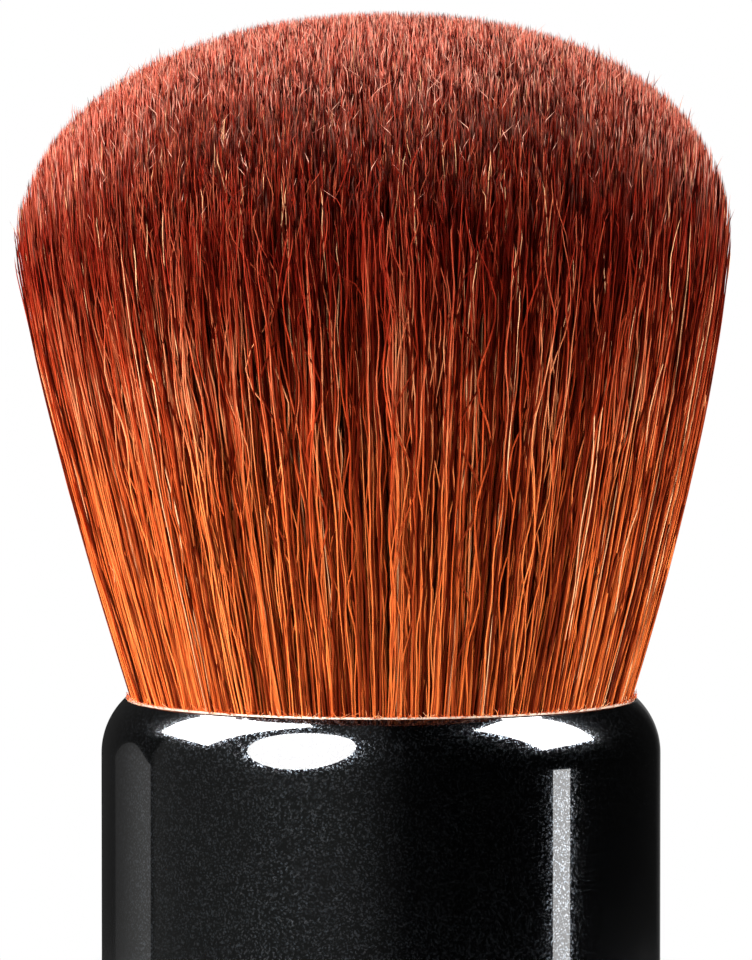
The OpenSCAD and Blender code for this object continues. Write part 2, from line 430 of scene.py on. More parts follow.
def lacquer_material(values):
    """Black lacquer: a dark coat with fine flakes that lean their own ways, under clear gloss."""
    material, tree, output = new_material("black_lacquer")
    place = add(tree, "ShaderNodeTexCoord").outputs["Object"]
    cells = add(tree, "ShaderNodeTexVoronoi", {"feature": "F1"}, Vector=place,
                Scale=1 / values.flake_size, Randomness=1.0)
    lean = vectors(tree, "SUBTRACT", cells.outputs["Color"], (0.5, 0.5, 0.5))
    lean = vectors(tree, "MULTIPLY", lean, (values.flake_tilt,) * 3)
    upright = add(tree, "ShaderNodeNewGeometry").outputs["Normal"]
    normal = vectors(tree, "NORMALIZE", vectors(tree, "ADD", upright, lean))
    pick = add(tree, "ShaderNodeSeparateColor", Color=cells.outputs["Color"]).outputs
    share = span(tree, pick[2], *FLAKE_SHARE)
    cloud = add(tree, "ShaderNodeTexNoise", Vector=place, Scale=FLAKE_CLOUD,
                Detail=3.0).outputs["Fac"]
    share = maths(tree, "MULTIPLY", share, span(tree, cloud, 0.2, 0.8, 0.7, 1.0))
    cool = blend(tree, pick[1], values.flake,
                 tuple(c * g for c, g in zip(values.flake, FLAKE_COOL)))
    colour = blend(tree, share, tuple(values.lacquer), cool)
    shade(tree, output, Base_Color=colour, Metallic=1.0, Roughness=0.15, Normal=normal,
          Coat_Weight=1.0, Coat_Roughness=0.02, Coat_IOR=1.46)
    return material


def shell_section(values):
    """Half section of the shell: the straight wall, the rounded shoulder and the mouth."""
    r, low, high = HANDLE_R, SHELL_LOW.z, SHELL_HIGH.z
    bend, wall, mouth = values.shoulder_r, values.wall, values.mouth_r
    middle = r - bend
    reach = mouth + values.land - middle
    bend_z = high - math.sqrt(bend ** 2 - reach ** 2)
    top = math.degrees(math.asin((high - bend_z) / bend))
    inner = bend - wall
    inner_top = math.degrees(math.acos((mouth - middle) / inner))
    section = [(r - wall + BREAK, low), (r - BREAK, low), (r, low + BREAK)]
    section += [(r, z) for z in np.linspace(low + 1 * MM, bend_z - 0.2 * MM, 12)]
    section += arc(middle, bend_z, bend, 0, top, 26)
    section += [(mouth + 0.10 * MM, high + values.lip * 0.8), (mouth + BREAK, high + values.lip),
                (mouth, high + values.lip - BREAK)]
    section += arc(middle, bend_z, inner, inner_top, 0, 10)
    section += [(r - wall, low + BREAK)]
    return section


class BRUSH_OT_handle(bpy.types.Operator):
    """Make the lacquered shell in place of the plain one"""
    bl_idname = "brush.handle"
    bl_label = "Lacquered Shell"

    def execute(self, context):
        values = context.scene.brush_handle
        mesh = lathe("lacquered_shell", shell_section(values), steps=360)
        keep_edges(mesh, angle=32)
        new_piece("lacquered_shell", mesh, lacquer_material(values), "black_lacquer",
                  "handle_shell")
        return {"FINISHED"}


class BRUSH_OT_inside(bpy.types.Operator):
    """Finish the ferrule, core, weight, pad, plate, adhesive and thread"""
    bl_idname = "brush.inside"
    bl_label = "Ferrule and Inner Parts"

    def execute(self, context):
        rim = tuple(context.scene.brush_handle.rim)
        # colour and its change, roughness and its change, then grain, mottle, relief and stretch
        finishes = {
            # the ferrule's colour holds a painted reflection of the bristles and a painted
            # highlight
            "ferrule_cup": grained("cup_metal", rim, 0.08, 0.34, 0.10,
                                   0.05 * MM, 2 * MM, 0.004 * MM, (1, 1, 6), Metallic=0.35),
            "handle_core": grained("core_plastic", (0.03, 0.03, 0.034), 0.12, 0.55, 0.08,
                                   0.3 * MM, 6 * MM, 0.01 * MM),
            "base_plate": grained("base_plastic", (0.02, 0.02, 0.022), 0.15, 0.38, 0.12,
                                  0.25 * MM, 5 * MM, 0.012 * MM),
            "weight_slug": grained("turned_steel", (0.50, 0.50, 0.52), 0.12, 0.36, 0.12,
                                   0.1 * MM, 3 * MM, 0.006 * MM, (0.4, 0.4, 5), Metallic=1.0),
            "weight_pad": grained("foam", (0.08, 0.08, 0.085), 0.30, 0.92, 0.06,
                                  0.35 * MM, 2 * MM, 0.09 * MM),
            "adhesive_plug": grained("adhesive", (0.60, 0.42, 0.18), 0.20, 0.20, 0.08,
                                     1.2 * MM, 4 * MM, 0.03 * MM, Coat_Weight=0.5),
            "binding_thread": grained("thread", (0.80, 0.75, 0.65), 0.22, 0.80, 0.08,
                                      0.12 * MM, 1 * MM, 0.04 * MM, (0.3, 0.3, 2.5)),
        }
        for node, material in finishes.items():
            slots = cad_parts[node].material_slots
            if not slots:
                raise RuntimeError(node + " has no material slot")
            for slot in slots:
                slot.material = material
        return {"FINISHED"}


# -------------------- bristle

ROOT_H = -1.0 * MM  # height of the strands' lower ends above the mouth
DOME_POWER = 2.12  # 2 for an elliptical dome, more for one with a flatter top
HEAD_SHIFT = -0.45 * MM  # how far the head leans to the left at its widest
HEAD_TILT = 0.026  # rise of the dome from left to right
SCATTER = 0.2  # how loosely strands keep to their even pattern
OUTER, INNER = 0.93, 0.80  # shares of the radius: drawn finest outside, least inside
STRAY_RHO = 0.978  # share of the radius at which stray strands lie
TUFTS = (1700, 260)  # how many small and large tufts strands draw together in
TUFT_PULL = (0.85, 0.30)  # how far strands are drawn to each kind
SHORT = 0.28 * MM  # how much strands fall short of the dome, on average
SHORT_OUTSIDE = 5.0  # millimetres that the outermost fall short of it at most
LEANS, LEAN_ODDS = (0.12, 0.30, 0.55), (0.80, 0.17, 0.03)  # millimetres
WAVES, WAVE_ODDS = (0.14, 0.36), (0.65, 0.35)  # millimetres
BENDS, BEND_ODDS = (0.4, 1.3, 2.1), (0.81, 0.14, 0.05)  # how much tips bend
HOOKED_BEND = 2  # a tip that bends more than this is hooked
HOOK = (0.3, 0.9, 1.7, 2.6)  # how it leans away, in multiples of the swings below
KINKS = (3.4, 2.0, 1.1, 0.5)  # millimetres from a strand's tip to its last bends
KINK_SWING = (0.03, 0.05, 0.07, 0.10)  # how far the bends after the first and the tip swing
RIPPLE = 0.055 * MM  # small waves of the outermost strands round the head
STRAND_H = 36  # millimetres that a strand's length counts as for its taper
TAPER_AT = (0, 0.5, 2.0, 6.0, 11.0)  # millimetres from the tip
TAPER = (0.18, 0.50, 0.70, 0.90, 1.0)  # how thick a strand is there
THREAD = 0.45 * MM  # thickness of the binding thread

# a strand's tone is its key, in one of the bands for the height of its tip
BANDS = 6
# painted side light: tips at the left and right turn pale as if this much higher
PAINTED_SIDE_LIGHT = 6 * MM  # tips at the left and right turn pale as if this much higher
LOCKS = 120  # squares across the head whose strands are alike in tone
# dark keys partly stand for painted shade between strands, light keys partly for painted highlights
DARK_KEYS, LIGHT_KEYS = (0.04, 0.44), (0.56, 0.79)  # from and to
PALE_KEYS, HOOKED_KEYS, STRAY_KEYS = (0.82, 0.06), (0.90, 0.09), (0.74, 0.14)  # from, and width
PALE_DRAW = 0.982  # strands that draw more than this are pale
PALE_FROM, HOOKED_FROM = (0.80, 0.85), 0.89  # where the material tells them apart
KEY_STEPS = 1024.0  # strands whose keys share a step draw the same chance


def strand_material(values):
    """Strand colour from the strand's band and key (U) and the place along it (V).

    A band is a range of tip heights: only the tips near the top of the dome turn pale, a painted
    light from above. In a band the key runs from dark strands, partly painted shade between
    strands, to light ones, partly painted highlights, then pale ones and those with hooked tips.
    """
    material, tree, output = new_material("bristle")
    root, belly, neck, tip, golden, pale, bent_tip_glint = (tuple(colour) for colour in (
        values.root, values.belly, values.neck, values.tip, values.painted_highlight, values.pale,
        values.bent_tip_glint))
    uv = add(tree, "ShaderNodeUVMap", {"uv_map": "OFBake"}).outputs[0]
    across, along = add(tree, "ShaderNodeSeparateXYZ", Vector=uv).outputs[:2]
    spread = maths(tree, "MULTIPLY", across, float(BANDS))
    band = maths(tree, "FLOOR", spread)
    key = maths(tree, "FRACT", spread)
    step = maths(tree, "FLOOR", maths(tree, "MULTIPLY", across, KEY_STEPS))
    chance = add(tree, "ShaderNodeTexWhiteNoise", {"noise_dimensions": "1D"}, W=step)
    chance = chance.outputs["Value"]
    hooked = maths(tree, "GREATER_THAN", key, HOOKED_FROM)

    # how light the strand is: its key, a painted highlight flicker along it, darker further up
    spot = add(tree, "ShaderNodeCombineXYZ", X=maths(tree, "MULTIPLY", step, 3.7),
               Y=maths(tree, "MULTIPLY", along, 14.0))
    glint_flicker = add(tree, "ShaderNodeTexNoise", Vector=spot.outputs[0], Scale=1.0, Detail=1.0)
    light = maths(tree, "SUBTRACT", key, maths(tree, "MULTIPLY", hooked, 0.45))
    light = maths(tree, "ADD", light, maths(tree, "MULTIPLY", maths(
        tree, "SUBTRACT", glint_flicker.outputs["Fac"], 0.5), 0.6))
    light = maths(tree, "SUBTRACT", light, span(tree, along, 0.55, 0.85, 0.0, 0.08))

    # the colour at this height, darkened by the tint; the darkest partly stand for painted shade
    middle = tuple((a + b) / 2 for a, b in zip(root, belly))
    body = ramp(tree, along, [(0.0, root), (0.22, root), (0.42, middle), (0.65, belly),
                              (0.90, neck), (1.0, neck)])
    tint = ramp(tree, light, [(0.0, (0.07, 0.03, 0.03)), (0.20, (0.16, 0.08, 0.10)),
                              (0.38, (0.43, 0.33, 0.38)), (0.56, (0.92, 0.90, 0.92)),
                              (0.80, WHITE)])
    warm = maths(tree, "ADD", 0.88, maths(tree, "MULTIPLY", chance, 0.24))
    strand = vectors(tree, "MULTIPLY", body, times(tree, tint, 1.0, warm, warm))

    # painted highlights: light strands turn golden below and pale above; pale ones, partly painted
    # highlight too, are pale all along
    painted_highlight = maths(tree, "MULTIPLY", span(tree, light, 0.52, 0.92, 0.0, 0.85),
                  span(tree, along, 0.60, 0.94, 1.0, 0.35))
    gleam = blend(tree, span(tree, along, 0.45, 0.70, 0.0, 0.65), golden, pale)
    strand = blend(tree, painted_highlight, strand, gleam)
    pale_and_highlight_share = maths(tree, "MULTIPLY", span(tree, key, *PALE_FROM),
                   maths(tree, "SUBTRACT", 1.0, hooked))
    strand = blend(tree, pale_and_highlight_share, strand, pale)

    # tips: their own tip colour, given to more of them the higher their band, a painted light from
    # above; some turn paler still, a painted glint
    reach = maths(tree, "DIVIDE", band, BANDS - 1.0)
    fade = span(tree, along, maths(tree, "SUBTRACT", 0.95, maths(tree, "MULTIPLY", reach, 0.05)),
                0.985)
    share = maths(tree, "MULTIPLY", fade, span(tree, reach, 0.50, 0.95, 0.05, 0.95))
    share = maths(tree, "MULTIPLY", share, span(tree, chance, 0.42, 0.70))
    lit_tip = blend(tree, span(tree, chance, 0.72, 0.96), tip, bent_tip_glint)
    colour = blend(tree, share, strand, lit_tip)
    # hooked tips end in a painted glint
    colour = blend(tree, maths(tree, "MULTIPLY", hooked, span(tree, along, 0.974, 0.984)), colour,
                   bent_tip_glint)
    shade(tree, output, Base_Color=colour, Roughness=0.38, Specular_IOR_Level=0.015,
          Specular_Tint=(1.0, 0.50, 0.32, 1.0))
    return material


def head_height(values, rho):
    """Height of the dome above the mouth at a share of its radius."""
    return values.flare_h + values.dome_h * np.sqrt(np.clip(1 - rho ** DOME_POWER, 0, 1))


def sunflower(count):
    """Angles and radii that fill the unit disc evenly, each the golden angle on from the last."""
    order = np.arange(count)
    return order * math.pi * (3 - math.sqrt(5)), np.sqrt((order + 0.5) / count)


def outwards(turn):
    """Unit vectors away from the axis at these angles."""
    return np.stack([np.cos(turn), np.sin(turn)], axis=1)


def sideways(turn):
    """Unit vectors round the axis at these angles."""
    return np.stack([-np.sin(turn), np.cos(turn)], axis=1)


def any_turn(rng, count):
    """An angle for each strand."""
    return rng.random(count) * 2 * math.pi


def drawn(rng, count, start, width):
    """A number for each strand, from start to a width further on."""
    return start + width * rng.random(count)


def climb(value, start, width):
    """0 up to start, 1 from a width further on, and straight between."""
    return np.clip((value - start) / width, 0, 1)


def tuft_shift(rng, spots, count):
    """The way from each spot of the unit disc to the nearest of count tufts, and which it is."""
    turn, out = sunflower(count)
    centres = out[:, None] * outwards(turn)
    centres += rng.normal(0, 0.35 / math.sqrt(count), centres.shape)
    nearest = np.empty(len(spots), int)
    batch = 2000
    for start in range(0, len(spots), batch):
        gap = ((spots[start:start + batch, None, :] - centres[None]) ** 2).sum(axis=2)
        nearest[start:start + batch] = gap.argmin(axis=1)
    return centres[nearest] - spots, nearest


def strand_layout(rng, count):
    """Every strand's place, length, lean, waves, kinks and colour key."""
    turn, rho = sunflower(count)
    turn = turn + rng.normal(0, SCATTER, count)
    rho = np.clip(rho + rng.normal(0, SCATTER / math.sqrt(count), count), 0, 1)
    spot = rho[:, None] * outwards(turn)
    fine, fine_id = tuft_shift(rng, spot, TUFTS[0])
    coarse, coarse_id = tuft_shift(rng, spot, TUFTS[1])
    short = (rng.exponential(SHORT, count)
             + climb(rho, 0.88, 0.12) ** 2 * rng.random(count) ** 2.4 * SHORT_OUTSIDE * MM)
    lean_size = rng.choice(LEANS, count, p=LEAN_ODDS) * MM
    kink_size = rng.choice(BENDS, count, p=BEND_ODDS)
    wave_size = rng.choice(WAVES, count, p=WAVE_ODDS) * MM

    # tone: alike in a tuft and a lock; more light strands at left and right, painted side light
    lock = np.clip((spot + 1) / 2 * LOCKS, 0, LOCKS - 1).astype(int)
    left = -spot[:, 0]
    light_odds_painted_sides = 0.38 + 0.14 * left + 0.34 * climb(left, 0.30, 0.5) + 0.26 * climb(-left, 0.45, 0.4)
    key = (np.where(rng.random(count) < light_odds_painted_sides, rng.uniform(*LIGHT_KEYS, count),
                    rng.uniform(*DARK_KEYS, count))
           + rng.normal(0, 0.04, TUFTS[0])[fine_id] + rng.normal(0, 0.02, TUFTS[1])[coarse_id]
           + rng.normal(0, 0.08, (LOCKS, LOCKS))[lock[:, 0], lock[:, 1]])
    key = np.clip(key, 0.01, LIGHT_KEYS[1])
    key = np.where(rng.random(count) > PALE_DRAW, drawn(rng, count, *PALE_KEYS), key)
    hooked = kink_size > HOOKED_BEND
    key = np.where(hooked, drawn(rng, count, *HOOKED_KEYS), key)

    kinks = rng.normal(0, 1, (count, len(KINKS), 2))
    bend = rng.normal(0, 1, (count, 1, 2)) * np.array(HOOK)[None, :, None]
    kinks = np.where(hooked[:, None, None], bend + 0.3 * kinks, kinks) * kink_size[:, None, None]
    lean = rng.normal(0, 1, (count, 2)) * lean_size[:, None]
    waves = rng.normal(0, 1, (count, 2)) * wave_size[:, None]
    # the outermost strands lean and wave round the head more than out of it
    out = outwards(turn)
    held = 0.85 * climb(rho, 0.6, 0.35)
    lean -= out * (held * (lean * out).sum(axis=1))[:, None]
    waves -= out * (held * (waves * out).sum(axis=1))[:, None]
    kinks -= out[:, None] * (0.8 * held[:, None] * (kinks * out[:, None]).sum(axis=2))[..., None]
    return {
        "spot": spot, "rho": rho, "turn": turn, "fine": fine, "coarse": coarse, "short": short,
        "lean": lean, "waves": waves, "kinks": kinks,
        "beats": drawn(rng, count, 1.4, 3.0), "phase": any_turn(rng, count),
        "ripple": sideways(turn) * (rng.normal(0, RIPPLE, count) * (rho > OUTER))[:, None],
        "ripples": rng.uniform(4.5, 7.0, count), "spin": any_turn(rng, count),
        "width": (1.28 - 0.62 * np.minimum(key, 0.8)) * rng.uniform(0.85, 1.15, count),
        "key": key, "away": np.zeros(count),
    }


def stray_layout(rng, count):
    """Pale strands that lie loose on the outside of the head, with long waves."""
    lay = strand_layout(rng, count)
    turn = lay["turn"] = any_turn(rng, count)
    rho = lay["rho"] = np.full(count, STRAY_RHO)
    lay["away"] = 0.3 * MM * rng.random(count) ** 3
    lay["spot"] = rho[:, None] * outwards(turn)
    lay["fine"] = lay["coarse"] = np.zeros((count, 2))
    lay["short"] = rng.random(count) ** 1.5 * 22 * MM
    for name, usual, most in (("waves", 0.15, 0.2), ("lean", 0.6, 0.9)):
        size = np.clip(rng.normal(0, usual * MM, count), -most * MM, most * MM)
        lay[name] = sideways(turn) * size[:, None]
    lay["width"] = drawn(rng, count, 0.6, 0.5)
    lay["key"] = drawn(rng, count, *STRAY_KEYS)
    return lay


def strand_paths(values, own, shares):
    """Middle points of strands, and the share of the full length that each is at.

    They lie at these shares of the way to the first kink, at the kinks and at the tip.
    """
    away, beats, phase, ripples = (own[name][:, None] for name in
                                   ("away", "beats", "phase", "ripples"))
    full_h = head_height(values, own["rho"])
    end = 1 - own["short"] / full_h
    last = end[:, None] - np.array(KINKS)[None, :] * MM / full_h[:, None]
    share = np.concatenate([np.array(shares)[None, :] * last[:, :1], last, end[:, None]], axis=1)
    spread = 1 - (1 - share) ** values.flare_curve
    radius = values.foot_r + (values.head_r - values.foot_r) * spread
    pull = values.clump * np.sin(math.pi * np.clip(share / 0.92, 0, 1)) ** 0.8
    path = own["spot"][:, None] + (own["fine"][:, None] * (TUFT_PULL[0] * pull)[..., None]
                                   + own["coarse"][:, None] * (TUFT_PULL[1] * pull)[..., None])
    path = path * (radius + away * np.clip(share * 3, 0, 1))[..., None]
    path = path + own["lean"][:, None] * (share ** 1.4)[..., None]
    swing = np.sin(2 * math.pi * beats * share + phase) - np.sin(phase)
    path = path + own["waves"][:, None] * (swing * share ** 0.6)[..., None]
    ripple = np.sin(2 * math.pi * ripples * share + phase)
    path = path + own["ripple"][:, None] * (ripple * np.minimum(share * 4, 1))[..., None]
    path[:, -len(KINKS):] += own["kinks"] * np.array(KINK_SWING)[None, :, None] * MM
    height = ROOT_H + (full_h - ROOT_H)[:, None] * share
    path[..., 0] += HEAD_SHIFT * np.clip(height / values.flare_h, 0, 1) ** 1.2
    height = height + HEAD_TILT * path[..., 0] * np.clip(share, 0, 1) ** 2
    return np.concatenate([path, MOUTH_Z + height[..., None]], axis=2), share


def strand_mesh(name, values, groups):
    """One mesh of strands. groups are (layout, which of its strands, shares of the length)."""
    parts = []
    for lay, picked, shares in groups:
        own = {column: numbers[picked] for column, numbers in lay.items()}
        path, share = strand_paths(values, own, shares)
        taper = np.interp((share[:, -1:] - share) * STRAND_H, TAPER_AT, TAPER)
        painted_side_light = climb(np.abs(own["spot"][:, 0]), 0.5, 0.45)
        # the band goes by the tip's height, raised at the left and right by painted side light
        tip_h = head_height(values, own["rho"]) - own["short"] + PAINTED_SIDE_LIGHT * painted_side_light
        band = np.clip((tip_h - values.flare_h) / values.dome_h * BANDS,
                       0, BANDS - 0.01).astype(int)
        parts.append({"path": path, "share": share, "turn": own["turn"], "spin": own["spin"],
                      "thick": (values.strand_r * own["width"])[:, None] * taper,
                      "u": (band + own["key"]) / BANDS})
    return tube_mesh(name, parts)


def tube_mesh(name, parts):
    """One mesh of three-sided tubes that close to a point.

    A part holds the tubes' middle points, their radius and share of the length at each point, the
    side that each lies on, its twist, and its place across the colour map.
    """
    points, corners, sizes, maps = [], [], [], []
    first = 0
    half = 0.5 / KEY_STEPS  # a tube's strip of the colour map is one step of keys wide
    for part in parts:
        path, share = part["path"], part["share"]
        if not len(path):
            continue
        along = np.gradient(path, axis=1)
        along /= np.linalg.norm(along, axis=2, keepdims=True)
        turn = part["turn"]
        away = np.stack([np.cos(turn), np.sin(turn), np.zeros_like(turn)], axis=1)[:, None, :]
        across = np.cross(along, away)
        across /= np.linalg.norm(across, axis=2, keepdims=True)
        outward = np.cross(across, along)
        # the points: three at each level, then the tip
        rings = []
        for side in range(3):
            angle = part["spin"] + side * 2 * math.pi / 3
            ring = (np.cos(angle)[:, None, None] * outward + np.sin(angle)[:, None, None] * across)
            rings.append(path + ring * part["thick"][..., None])
        body = np.stack(rings, axis=2)[:, :-1]
        tubes, levels = body.shape[:2]
        size = levels * 3 + 1
        block = np.concatenate([body.reshape(tubes, levels * 3, 3), path[:, -1:]], axis=1)
        points.append(block.reshape(-1, 3))
        base = first + np.arange(tubes)[:, None] * size
        first += tubes * size
        # the faces of one tube: quads between its levels, the tip's three and the foot's one
        low = np.arange(levels - 1)[:, None] * 3
        side = np.arange(3)[None, :]
        after = (side + 1) % 3
        quad = np.stack([low + side, low + after, low + 3 + after, low + 3 + side],
                        axis=-1).reshape(-1, 4)
        crown = (levels - 1) * 3
        last = np.array([[crown + s, crown + (s + 1) % 3, levels * 3] for s in range(3)])
        foot = np.array([[2, 1, 0]])
        # the colour map: a little to the sides of the tube's place, and up with its length
        level_v = np.append(np.repeat(share[:, :-1], 3, axis=1), share[:, -1:], axis=1)
        offset_u = np.append(np.tile([-half, 0.0, half], levels), 0.0)
        for faces in (quad, np.concatenate([last, foot])):
            corners.append((base[:, :, None] + faces[None]).ravel())
            sizes.append(np.full(tubes * len(faces), faces.shape[1]))
            order = faces.ravel()
            chart = np.stack([part["u"][:, None] + offset_u[order][None, :], level_v[:, order]],
                             axis=-1)
            maps.append(chart.reshape(-1, 2))
    return mesh_from(name, np.concatenate(points), np.concatenate(corners),
                     np.concatenate(sizes), np.concatenate(maps))


def foot_mesh(values):
    """The bound foot of the bundle, down in the cup."""
    bound, full = THREAD_HIGH.x - THREAD, values.foot_r
    neck = THREAD_HIGH.z
    section = [(0, TUFT_LOW.z), (bound, TUFT_LOW.z), (bound, neck), (full, neck + 0.3 * MM),
               (full, MOUTH_Z - 0.6 * MM), (0, MOUTH_Z - 0.2 * MM)]
    mesh = lathe("bristle_foot", section, steps=180)
    keep_edges(mesh)
    return mesh


def fluff_mesh(rng, count):
    """Short fine fibres caught along the ferrule's rim."""
    turn = any_turn(rng, count)
    length = (0.15 + 0.55 * rng.random(count) ** 2) * MM
    lean = rng.normal(0, 0.9, count)
    bend = rng.normal(0, 0.8, count)
    points = 5
    step = np.linspace(0, 1, points)[None, :]
    around = turn[:, None] + length[:, None] / CUP_R * (
        np.sin(lean)[:, None] * step + bend[:, None] * step ** 2 * 0.5)
    out = CUP_R + rng.uniform(-0.25, 0.06, count)[:, None] * MM + 0.10 * MM * step
    rise = CUP_HIGH.z - 0.05 * MM + length[:, None] * np.abs(np.cos(lean))[:, None] * step * 0.8
    path = np.stack([out * np.cos(around), out * np.sin(around), rise], axis=2)
    taper = np.linspace(1, 0.4, points)[None, :]
    thick = drawn(rng, count, 0.016, 0.012)[:, None] * MM * taper
    part = {"path": path, "thick": thick, "turn": turn, "spin": turn * 7, "share": step + 0 * out,
            "u": drawn(rng, count, 0.55, 0.43) / BANDS}
    return tube_mesh("rim_fluff", [part])


class BRUSH_OT_bristle(bpy.types.Operator):
    """Make the head of fine strands, in sectors, in place of the coarse one"""
    bl_idname = "brush.bristle"
    bl_label = "Bristle Head"

    sectors = 16
    strays = 150  # loose strands on the outside
    fluff = 1100  # short fibres at the ferrule's rim
    # shares of a strand's length at which each kind has its points
    outer_shares = tuple(np.linspace(0, 0.95, 22))
    middle_shares = (0, 0.13, 0.26, 0.39, 0.52, 0.65, 0.77, 0.89)
    inner_shares = (0, 0.5, 0.85)
    stray_shares = tuple(np.linspace(0, 1, 30)[:-1])

    def execute(self, context):
        values = context.scene.brush_bristle
        rng = np.random.default_rng(values.seed)
        count = values.count
        lay = strand_layout(rng, count)
        material = strand_material(values)
        sector = ((lay["turn"] / (2 * math.pi)) % 1 * self.sectors).astype(int)
        outer = lay["rho"] > OUTER
        inner = lay["rho"] < INNER
        for index in range(self.sectors):
            here = sector == index
            parts = [(lay, np.flatnonzero(here & outer), self.outer_shares),
                     (lay, np.flatnonzero(here & ~outer & ~inner), self.middle_shares),
                     (lay, np.flatnonzero(here & inner), self.inner_shares)]
            name = "bristle_%d" % index
            new_piece(name, strand_mesh(name, values, parts), material, "bristle",
                      "bristle_tuft")
        strays = stray_layout(rng, self.strays)
        mesh = strand_mesh("bristle_strays", values,
                           [(strays, np.arange(self.strays), self.stray_shares)])
        new_piece("bristle_strays", mesh, material, "bristle", "bristle_tuft")
        bundle = grained("bundle_foot", (0.10, 0.018, 0.008), 0.5, 0.6, 0.1,
                         0.12 * MM, 1.2 * MM, 0.03 * MM, (1, 1, 0.03))
        new_piece("bristle_foot", foot_mesh(values), bundle, "bristle", "bristle_tuft")
        new_piece("rim_fluff", fluff_mesh(rng, self.fluff), material, "bristle", "bristle_tuft")
        return {"FINISHED"}


# -------------------- stage

# lamps: name, setting and its factor, azimuth, elevation, width, height, for gloss, and shape
LAMPS = (
    ("key", "key", 1, -58, 7, 0.58, 0.60, False, "ELLIPSE"),
    ("left side", "left", 1, -80, 24, 0.50, 0.50, False, "ELLIPSE"),
    ("right side", "right", 1, 70, 20, 0.50, 0.50, False, "ELLIPSE"),
    ("front fill", "fill", 1, 28, 8, 0.50, 0.50, False, "ELLIPSE"),
    ("top", "top", 1, -25, 66, 0.36, 0.36, False, "ELLIPSE"),
    ("back", "back", 1, 180, 42, 0.70, 0.40, False, "ELLIPSE"),
    ("key glint", "glint", 1, -37, 31, 0.46, 0.62, True, "ELLIPSE"),
    ("left glint", "glint", 1.4, -98, 49, 0.36, 0.52, True, "RECTANGLE"),
    ("right glint", "glint", 1.4, 89, 41.5, 0.34, 0.42, True, "RECTANGLE"),
)
LAMP_FAR = 0.60  # metres from these lamps to what they shine on
HEAD_MIDDLE = (0, 0, 0.035)
STRIP_TARGET = (0, 0, -0.0638)  # so low that only the handle's gloss mirrors the strip
STRIP_LIGHT = 8.8
ROOM_GREYS = (  # grey that gloss sees at each azimuth
    (-180, 1), (-178, 1), (-177, 0.02), (-109, 0.04), (-106, 0.20), (-60, 0.24), (-15, 0.24),
    (3, 0.08), (12, 0.02), (30, 0.008), (157, 0.008), (166, 0.03), (169, 0.12), (175, 0.14),
    (176, 1), (180, 1))
CARD_AZIMUTH, CARD_HALF = -126, 16.5  # middle and half the width of the card on the left
CARD_TOP, CARD_ROUND = 0.17, 0.235  # its height, and how much lower its corners are
CARD_GREY, CARD_RISE = 0.05, 0.57  # its grey at the back, and what the front has more
FLOOR_SIDES = 96
FLOOR_FADE = (0.05, 0.12)  # metres from the axis between which the floor turns white


def lamp(name, target, distance, azimuth, elevation, width, height, radiance, gloss, shape):
    """An area lamp of the given brightness, for gloss or for all else. Azimuth 0 is the front."""
    light = bpy.data.lights.new(name, "AREA")
    light.shape = shape
    light.size, light.size_y = width, height
    area = width * height * (math.pi / 4 if shape == "ELLIPSE" else 1)
    light.energy = radiance * math.pi * area
    piece = link(name, light)
    a, e = math.radians(azimuth), math.radians(elevation)
    way = Vector((math.sin(a) * math.cos(e), -math.cos(a) * math.cos(e), math.sin(e)))
    piece.location = Vector(target) + way * distance
    piece.rotation_euler = (-way).to_track_quat("-Z", "Y").to_euler()
    piece.visible_camera = False
    piece.visible_glossy, piece.visible_diffuse = gloss, not gloss


def room(values):
    """White to the camera, a soft grey room to diffuse light, greys and a card to gloss."""
    world = bpy.data.worlds.new("room")
    bpy.context.scene.world = world
    world.use_nodes = True
    tree = world.node_tree
    tree.nodes.clear()
    output = tree.nodes.new("ShaderNodeOutputWorld")
    way = add(tree, "ShaderNodeTexCoord").outputs["Generated"]
    x, y, z = add(tree, "ShaderNodeSeparateXYZ", Vector=way).outputs
    turn = maths(tree, "ARCTAN2", x, maths(tree, "MULTIPLY", y, -1.0))
    share = maths(tree, "ADD", maths(tree, "DIVIDE", turn, 2 * math.pi), 0.5)
    sides = ramp(tree, share, [(0.5 + azimuth / 360, (grey,) * 3) for azimuth, grey in ROOM_GREYS])

    # the card is brighter towards the front and has a rounded top
    reach = maths(tree, "DIVIDE", maths(tree, "SUBTRACT", share, 0.5 + CARD_AZIMUTH / 360),
                  CARD_HALF / 360)
    drop = maths(tree, "MULTIPLY", CARD_ROUND, maths(tree, "POWER", reach, 2.0))
    under = maths(tree, "SUBTRACT", maths(tree, "SUBTRACT", CARD_TOP, drop), z)
    inside = maths(tree, "MULTIPLY", span(tree, under, 0.0, 0.02),
                   span(tree, maths(tree, "ABSOLUTE", reach), 1.0, 0.96))
    rise = maths(tree, "POWER", span(tree, reach, -1.0, 1.0, smooth=False), 2.0)
    card = maths(tree, "MULTIPLY", inside,
                 maths(tree, "ADD", CARD_GREY, maths(tree, "MULTIPLY", rise, CARD_RISE)))
    card = add(tree, "ShaderNodeCombineXYZ", X=card, Y=card, Z=card).outputs[0]
    sides = vectors(tree, "ADD", sides, card)

    diffuse = add(tree, "ShaderNodeBackground", Color=WHITE, Strength=values.ambient)
    gloss = add(tree, "ShaderNodeBackground", Color=sides, Strength=1.0)
    white = add(tree, "ShaderNodeBackground", Color=WHITE, Strength=1.0)
    path = add(tree, "ShaderNodeLightPath").outputs
    lit = either(tree, path["Is Glossy Ray"], diffuse, gloss)
    seen = either(tree, path["Is Camera Ray"], lit, white)
    tree.links.new(seen.outputs[0], output.inputs["Surface"])


